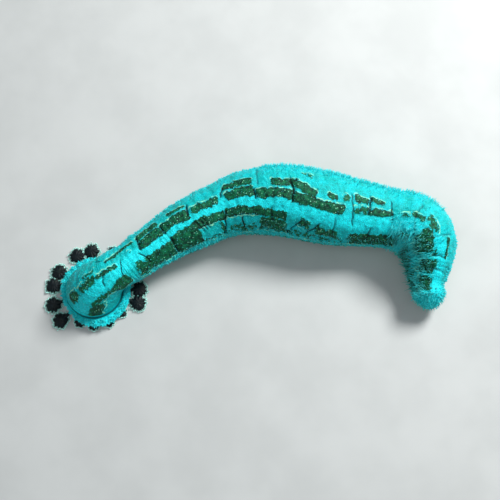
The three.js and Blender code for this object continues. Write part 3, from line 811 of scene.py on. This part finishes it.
def shield_outline(angle, shield, phase, random):
    """Radius of a shield's edge, as lobes that branch into smaller ones."""
    lobes = shield["lobes"]
    twos, threes = random.uniform(0, TURN), random.uniform(0, TURN)
    wander = 0.25 * np.sin(angle * 2 + twos) + 0.2 * np.sin(angle * 3 + threes)
    main = np.abs(np.cos(lobes / 2 * (angle + wander) + phase)) ** 0.7
    twigs = np.abs(np.cos(lobes * 1.5 * (angle + wander) + 1.5 * phase)) * main
    beads = np.abs(np.cos(lobes * 4 * angle + phase))
    edge = SHIELD_EDGE
    return edge["core"] + edge["lobes"] * main + edge["twigs"] * twigs + edge["beads"] * beads


def shield_mesh(centre, shield, random):
    """The lobed disc at a stalk's end: flat on the ground, domed above, with raised white edges."""
    angle = np.arange(SHIELD_AROUND) / SHIELD_AROUND * TURN
    phase = random.uniform(0, TURN)
    outline = shield_outline(angle, shield, phase, random) * shield["radius"]
    outward = np.linspace(0, 1, SHIELD_ROWS)[1:]
    inward = outward[::-1]
    under = mix(SHIELD_FOOT, SHIELD_RIM, outward**6)
    over = mix(SHIELD_RIM, shield["height"], (1 - inward**2.2) ** 0.8)
    share = np.concatenate([outward, inward])[:, None]
    height = np.concatenate([under, over])[:, None]
    radius = share * mix(shield["radius"] * SHIELD_EVEN, outline, smoothstep(share, 0.1, 0.75))
    lift = np.abs(np.cos(shield["lobes"] / 2 * angle + phase)) * (height > SHIELD_LIFT["above"])
    lift = SHIELD_LIFT["height"] * lift * smoothstep(share, 0.1, 0.5) * smoothstep(1.02 - share, 0, 0.3)
    points = round_points(centre, radius, angle, height + lift)
    poles = round_points(centre, 0, 0, (SHIELD_FOOT, shield["height"]))
    margin = np.append(np.repeat(share**2, SHIELD_AROUND), [0, 0])
    return *closed_rings(points, poles), margin, (angle, outline)


def fringe(centre, shield, edge, random):
    """Small white-tipped fingers round a shield's edge."""
    angle, outline = edge
    pick = np.arange(0, SHIELD_AROUND, 3 if shield["radius"] > 4 else 5)
    pick = (pick + random.integers(0, 2, len(pick))) % SHIELD_AROUND
    bearing = angle[pick] + random.normal(0, FINGER["turn"], len(pick))
    out = np.stack([np.cos(bearing), np.sin(bearing), np.zeros(len(pick))], axis=-1)
    height = random.uniform(*FINGER["root"], len(pick))
    root = round_points(centre, outline[pick] - FINGER["sink"], angle[pick], height)
    length = FINGER["length"] * random.uniform(*FINGER["longer"], len(pick))
    length = length * shield["radius"] / FINGER["shield"]
    share = np.linspace(0, 1, len(FINGER_TAPER))
    rise = random.uniform(*FINGER["rise"], len(pick))
    paths = root[:, None] + out[:, None] * (share * (length[:, None] + FINGER["sink"]))[..., None]
    paths[..., 2] += rise[:, None] * length[:, None] * share**2
    radii = FINGER["radius"] * FINGER_TAPER * np.ones((len(pick), 1))
    points, faces, shares, _ = tubes(paths, radii, np.cross(UP, out), FINGER["sides"])
    points[:, 2] = np.maximum(points[:, 2], FINGER["lowest"])
    return points, faces, smoothstep(shares, 0, 0.4)


def make_tentacle(number, root, tip, shield, material, random):
    path = stalk(root, tip, shield)
    share = np.linspace(0, 1, STALK_STEPS)
    radii = STALK["radius"] * (1 - STALK["waist"] * np.sin(pi * share))
    radii = radii * (1 + STALK["rings"] * np.sin(share * STALK["ring_turns"]))
    bearing = radians((root + tip) / 2)
    across = np.array([[-sin(bearing), cos(bearing), 0]])
    points, faces, _, _ = tubes(path[None], radii[None], across, STALK["sides"])
    tube = points, faces, np.zeros(len(points))
    *disc, edge = shield_mesh(path[-1], shield, random)
    points, faces, margin = join_parts(tube, disc, fringe(path[-1], shield, edge, random))
    piece = add_mesh(f"tentacle_flesh_{number:02d}", points, faces, material, {"margin": margin})
    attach(piece, "root")
    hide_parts(f"tentacle_{number:02d}")


def join_parts(*parts):
    """Several sets of points, faces and one number for each point, as one set."""
    points, faces, numbers = zip(*parts)
    first = np.cumsum([0] + [len(part) for part in points[:-1]])
    faces = [part + start for part, start in zip(faces, first)]
    return np.vstack(points), np.vstack(faces), np.concatenate(numbers)


MOUTH_PROFILE = [
    (0, 7.6), (2, 7.2), (3.4, 5.7), (4.8, 4.9), (6.5, 5.2), (9, 6.3), (11, 6.6), (17.3, 6.6), (17.6, 6.9),
    (17.6, 8.4), (12, 8.5), (6, 8.5),
]
MOUTH_AROUND = 180
MOUTH_STEPS = 6
MOUTH_MIDDLES = (7.7, 8.5)
LIPS = {"radius": 4.6, "reach": 2.4, "folds": 20, "depth": 0.55, "spread": 0.05, "below": 7.9}


def make_mouth(material):
    """The disc in the ring of tentacles, with puckered lips round the mouth."""
    angle = np.arange(MOUTH_AROUND) / MOUTH_AROUND * TURN
    radius, height = (values[1:, None] for values in trace_profile(MOUTH_PROFILE, MOUTH_STEPS))
    pucker = bell(radius - LIPS["radius"], LIPS["reach"]) * (height < LIPS["below"])
    folds = np.abs(np.sin(LIPS["folds"] / 2 * angle))
    spread = radius * (1 + LIPS["spread"] * pucker * np.cos(LIPS["folds"] * angle))
    points = round_points(HEAD_CENTRE, spread, angle, height - LIPS["depth"] * pucker * folds)
    poles = round_points(HEAD_CENTRE, 0, 0, MOUTH_MIDDLES)
    lip = np.append(np.repeat(pucker, MOUTH_AROUND), [1, 0])
    piece = add_mesh("mouth_disc", *closed_rings(points, poles), material, {"lip": lip})
    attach(piece, "root")
    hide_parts("mouth")


PAPILLA_SIDES = 6
PAPILLA_SINK = 0.6
# The least paleness of the papillae: partly their own colour, partly painted light against the shade they
# cast on each other.
PAPILLA_BRIGHTNESS = 0.8
PAPILLA_FIELD = (440, 400)
LOWEST_PAPILLA = 0.5
BLUNT_TAPER = np.array([1.15, 1, 0.88, 0.74, 0.55, 0.3])
SHARP_TAPER = np.array([1, 0.85, 0.66, 0.46, 0.26, 0.1])


def grow(name, shape, places, size, lean, material, random, blunt):
    """Soft papillae as one mesh. places is (along, degrees round), size is (length, radius) for each,
    and lean is how far each tip is drawn along the body and sideways, as shares of its length."""
    along, around = places
    length, radius = (part[:, None] for part in size)
    row = np.clip(np.searchsorted(shape["along"], along), 1, len(shape["along"]) - 2)
    column = np.round(around / 360 * SKIN_AROUND).astype(int) % SKIN_AROUND
    root, normal = shape["points"][row, column], shape["normals"][row, column]
    ahead = unit(shape["points"][row + 1, column] - shape["points"][row - 1, column])
    sideways = np.cross(normal, ahead)
    share = np.linspace(0, 1, len(BLUNT_TAPER))
    reach = share * (length + PAPILLA_SINK) - PAPILLA_SINK
    paths = root[:, None] + normal[:, None] * reach[..., None]
    for direction, part in zip((ahead, sideways), lean):
        paths = paths + direction[:, None] * (share**2 * length * part[:, None])[..., None]
    paths[..., 2] = np.maximum(paths[..., 2], LOWEST_PAPILLA)
    radii = radius * mix(SHARP_TAPER, BLUNT_TAPER, blunt)
    unwrap = np.stack([along - COLLAR_PLACE, around + 200], axis=-1) / PAPILLA_FIELD
    points, faces, shares, patches = tubes(paths, radii, sideways, PAPILLA_SIDES, unwrap)
    per_tube = len(shares) // len(along)
    values = {key: np.repeat(field[row, column], per_tube) for key, field in shape["fields"].items()}
    values["crease"] = 0.0
    # Papillae painted at least as pale as the stripe, with pale tips: partly their own colour, partly
    # painted light.
    values["stripe"] = np.maximum(values["stripe"], PAPILLA_BRIGHTNESS)
    values["tip"] = smoothstep(shares, 0.25, 0.85) * np.repeat(random.uniform(0.2, 1, len(along)), per_tube)
    values["dull"] = np.repeat(0.35 * random.uniform(0, 1, len(along)) ** 2, per_tube)
    piece = add_mesh(name, points, faces, material, values, patches)
    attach(piece, "root")


# Papillae by zone: how many; from where to where along the body; the middle and spread round it in degrees,
# where a spread of 180 is even; lengths; radii; and lean along and sideways.
PAPILLAE = {
    "back": (2700, (-78, 306), (0, 52), (0.25, 0.8), (0.28, 0.5), (0, 0)),
    "outer": (2300, (4, 306), (-80, 11), (0.4, 1.4), (0.3, 0.55), (0, 0)),
    "outer_rear": (1100, (118, 250), (-72, 16), (1.4, 3.2), (0.28, 0.5), (0.2, 0.1)),
    "inner": (1900, (4, 306), (80, 10), (0.4, 1.5), (0.3, 0.55), (0, 0)),
    "inner_rear": (1500, (222, 304), (46, 24), (1.6, 3.8), (0.26, 0.42), (-0.3, -0.9)),
    "vent": (420, (298, 312), (0, 120), (0.8, 2.4), (0.3, 0.5), (0.5, 0)),
    "collar": (900, (-93.5, -87.5), (0, 180), (0.4, 1.6), (0.35, 0.62), (0, 0)),
}
LEAN_SPREAD = 0.4


def make_papillae(shape, material):
    """Low papillae over the back, and longer ones along both flanks, at the rear and on the collar."""
    random = np.random.default_rng(31)
    for name, (count, places, (middle, spread), lengths, radii, leans) in PAPILLAE.items():
        along = random.uniform(*places, count)
        around = random.uniform(-180, 180, count) if spread == 180 else random.normal(middle, spread, count)
        size = random.uniform(*lengths, count), random.uniform(*radii, count)
        lean = [random.normal(part, LEAN_SPREAD, count) for part in leans]
        blunt = 1.0 if name == "collar" else 0.5
        grow(f"papillae_{name}", shape, (along, around), size, lean, material, random, blunt)


# Tube feet in rows at shares of the half width. Those within STANDING along the body reach the floor.
# FOOT_STEPS and FOOT_TAPER are shares of a foot's length and radius, down to the sucker.
FOOT_ROWS = [-0.72, -0.6, -0.5, -0.13, 0.0, 0.13, 0.5, 0.6, 0.72]
FOOT_REACH = (8, 300)
FOOT_SPACING = 6.0
FOOT_SCATTER = {"along": (-1.2, 1.2), "across": 0.02, "lean": 0.5, "radius": (0.85, 1.1)}
FOOT_RADIUS = 0.75
SUCKER = 1.15 / FOOT_RADIUS
FOOT_STEPS = np.array([0, 0.3, 0.6, 0.8, 0.9, 1.0])
FOOT_TAPER = np.array([1, 0.95, 0.9, 0.95, SUCKER, SUCKER])
FOOT_SIDES = 10
FOOT_SINK = 1.6
FOOT_SPREAD = 0.24
FOOT_LOW = 0.15
FOOT_LOWEST = 0.05
FOOT_FIELD = (360, 160)
STANDING = (50, 294)
RAISED_FOOT_LENGTH = 2.6


def make_tube_feet(material):
    """Tube feet in three bands under the body, down to flat suckers on the floor."""
    random = np.random.default_rng(41)
    parts = []
    for number, row in enumerate(FOOT_ROWS):
        distance = np.arange(FOOT_REACH[0] + 2 * (number % 3), FOOT_REACH[1], FOOT_SPACING)
        distance = distance + random.uniform(*FOOT_SCATTER["along"], len(distance))
        share = row + random.normal(0, FOOT_SCATTER["across"], len(distance))
        middle, side, half_width = stations(distance)
        drop = (1 - np.abs(share) ** SOLE_SQUARENESS) ** (1 / SOLE_SQUARENESS) * BOTTOM_SHARE * half_width
        root = middle + side * (share * half_width)[:, None] - UP * (drop - FOOT_SINK)[:, None]
        stands = (distance > STANDING[0]) & (distance < STANDING[1])
        low = np.where(stands, FOOT_LOW, root[:, 2] - FOOT_SINK - RAISED_FOOT_LENGTH)
        parts.append((root, low, side, share))
    root, low, side, share = (np.concatenate(part) for part in zip(*parts))
    bend = FOOT_STEPS**1.5
    spread = FOOT_SPREAD * share * np.maximum(root[:, 2] - low, 0)
    paths = root[:, None] + side[:, None] * (spread[:, None] * bend)[..., None]
    paths[..., :2] += random.normal(0, FOOT_SCATTER["lean"], (len(root), 1, 2)) * bend[:, None]
    paths[..., 2] = mix(root[:, 2, None], low[:, None], FOOT_STEPS)
    radii = FOOT_RADIUS * FOOT_TAPER * random.uniform(*FOOT_SCATTER["radius"], (len(root), 1))
    unwrap = root[:, :2] / FOOT_FIELD + 0.5
    points, faces, shares, patches = tubes(paths, radii, side, FOOT_SIDES, unwrap)
    points[:, 2] = np.maximum(points[:, 2], FOOT_LOWEST)
    values = {"under": 1.0, "tip": smoothstep(shares, 0.8, 0.95), "patch": OUTSIDE, "outer": 0.0}
    piece = add_mesh("tube_feet", points, faces, material, values, patches)
    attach(piece, "root")


# The photo is taken from above and a little in front. The aim is the middle of its frame.
CAMERA_AIM = np.array([0.0, -5.0, 25.0])
CAMERA_ELEVATION = radians(75)
CAMERA_DISTANCE = 597.7
CAMERA_FIELD = radians(37)


def set_camera():
    camera = bpy.data.objects.new("camera", bpy.data.cameras.new("camera"))
    bpy.context.scene.collection.objects.link(camera)
    back = np.array([0, -cos(CAMERA_ELEVATION), sin(CAMERA_ELEVATION)])
    camera.location = (CAMERA_AIM + back * CAMERA_DISTANCE) * MM
    camera.rotation_euler = (pi / 2 - CAMERA_ELEVATION, 0, 0)
    camera.data.sensor_width = camera.data.sensor_height = 36
    camera.data.sensor_fit = "HORIZONTAL"
    camera.data.angle = CAMERA_FIELD
    camera.data.clip_start = 10 * MM
    bpy.context.scene.camera = camera


FLOOR_REACH = 1600.0
FLOOR_DROP = 0.2


def set_floor():
    """A plain pale floor, a hair below the animal's lowest points."""
    corners = np.array([(-1, -1, 0), (1, -1, 0), (1, 1, 0), (-1, 1, 0)])
    paint = Finish("floor_paint")
    tone = paint.step(paint.noise(60), 0.3, 0.7)
    colour = paint.blend(tone, shade(186, 190, 190), shade(194, 198, 198))
    material = paint.finish(colour, 0.85, [(paint.noise(2), 0.02)])
    floor = add_mesh("floor", corners * FLOOR_REACH, np.array([[0, 1, 2, 3]]), material)
    floor.location.z = -FLOOR_DROP * MM


def add_light(name, place, size, watts, colour):
    """A round soft light that points at the origin."""
    light = bpy.data.lights.new(name, "AREA")
    light.shape = "DISK"
    light.size = size * MM
    light.energy = watts
    light.color = colour
    lamp = bpy.data.objects.new(name, light)
    bpy.context.scene.collection.objects.link(lamp)
    lamp.location = np.array(place) * MM
    lamp.rotation_euler = lamp.location.to_track_quat("Z", "Y").to_euler()


def set_lights():
    """Soft studio light, mostly from beyond the animal and from the right, as in the photo."""
    add_light("key", (660, 600, 850), 450, 22, (1, 0.99, 0.97))
    add_light("fill", (-400, -500, 1200), 1200, 3.5, (0.94, 0.98, 1))
    world = bpy.data.worlds.new("studio")
    world.use_nodes = True
    background = next(node for node in world.node_tree.nodes if node.type == "BACKGROUND")
    background.inputs["Color"].default_value = (0.92, 0.96, 1, 1)
    background.inputs["Strength"].default_value = 0.25
    bpy.context.scene.world = world
    bpy.context.scene.view_settings.view_transform = "Standard"


def build():
    set_camera()
    set_floor()
    set_lights()
    skin, flesh = skin_material(), tentacle_material()
    shape = make_skin_shape()
    make_skin(shape, skin)
    make_papillae(shape, skin)
    make_tube_feet(skin)
    random = np.random.default_rng(51)
    for index, (tip, hold) in enumerate(TENTACLES):
        make_tentacle(index + 1, 360 * index / len(TENTACLES), tip, SHIELDS[hold], flesh, random)
    make_mouth(mouth_material())


build()
